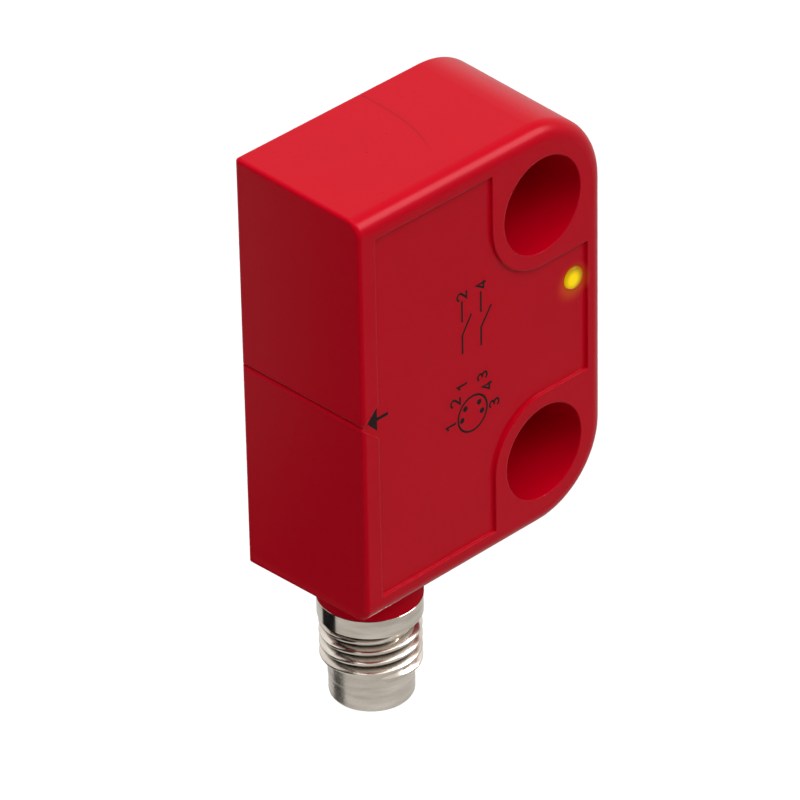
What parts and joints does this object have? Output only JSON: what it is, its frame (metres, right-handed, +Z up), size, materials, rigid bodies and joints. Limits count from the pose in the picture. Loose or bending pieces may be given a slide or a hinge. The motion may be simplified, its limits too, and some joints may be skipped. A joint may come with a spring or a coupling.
{
  "type": "magnetic switch",
  "caption": "Flat rectangular magnetic safety switch: moulded housing with counterbored screw holes, status light, reed contacts inside and an M8 plug connector below.",
  "frame": {"origin": "midway between the two screw holes, on the back mounting face", "axes": "+X away from the sensing end, +Y out of the mounting face into the guard, +Z up, plug points to -Z"},
  "size_m": [0.026, 0.013, 0.0479],
  "materials": {
    "red_housing": "semi-gloss moulded",
    "black_resin": "cast",
    "board": "solder mask",
    "led_chip": "clear",
    "amber_lens": "polished",
    "resistor": "ceramic chip",
    "diode_case": "moulded",
    "nickel_brass": "turned, nickel plated",
    "black_insulator": "moulded",
    "gold_contact": "gold plated",
    "reed_glass": "drawn",
    "reed_wire": "tinned",
    "reed_blade": "plated"
  },
  "bodies": {
    "switch": {"housing": "red_housing", "rear_cover": "red_housing", "potting_resin": "black_resin", "circuit_board": "board", "indicator_led": "led_chip", "light_guide": "amber_lens", "led_resistor": "resistor", "contact_resistor": "resistor", "diode": "diode_case", "connector_sleeve": "nickel_brass", "contact_carrier": "black_insulator", "contact_pin_1": "gold_contact", "contact_pin_2": "gold_contact", "contact_pin_3": "gold_contact", "contact_pin_4": "gold_contact", "reed_1_glass": "reed_glass", "reed_1_upper_lead": "reed_wire", "reed_1_lower_lead": "reed_wire", "reed_2_glass": "reed_glass", "reed_2_upper_lead": "reed_wire", "reed_2_lower_lead": "reed_wire"},
    "reed_1_lower_contact": {"reed_1_lower_blade": "reed_blade"},
    "reed_1_upper_contact": {"reed_1_upper_blade": "reed_blade"},
    "reed_2_lower_contact": {"reed_2_lower_blade": "reed_blade"},
    "reed_2_upper_contact": {"reed_2_upper_blade": "reed_blade"}
  },
  "joints": [
    {"name": "reed_1_lower_flex", "type": "hinge", "parent": "switch", "child": "reed_1_lower_contact", "pos_m": [-0.0161, -0.00833, -0.00475], "axis": [1, 0, 0], "range_deg": [0, 1.36], "stiffness_Nm_per_rad": 0.0001},
    {"name": "reed_1_upper_flex", "type": "hinge", "parent": "switch", "child": "reed_1_upper_contact", "pos_m": [-0.0161, -0.00877, 0.00475], "axis": [1, 0, 0], "range_deg": [0, 1.36], "stiffness_Nm_per_rad": 0.0001},
    {"name": "reed_2_lower_flex", "type": "hinge", "parent": "switch", "child": "reed_2_lower_contact", "pos_m": [-0.0131, -0.00833, -0.00475], "axis": [1, 0, 0], "range_deg": [0, 1.36], "stiffness_Nm_per_rad": 0.0001},
    {"name": "reed_2_upper_flex", "type": "hinge", "parent": "switch", "child": "reed_2_upper_contact", "pos_m": [-0.0131, -0.00877, 0.00475], "axis": [1, 0, 0], "range_deg": [0, 1.36], "stiffness_Nm_per_rad": 0.0001}
  ],
  "couplings": [
    {"joint": "reed_1_upper_flex", "follows": "reed_1_lower_flex", "ratio": 1},
    {"joint": "reed_2_upper_flex", "follows": "reed_2_lower_flex", "ratio": 1}
  ]
}
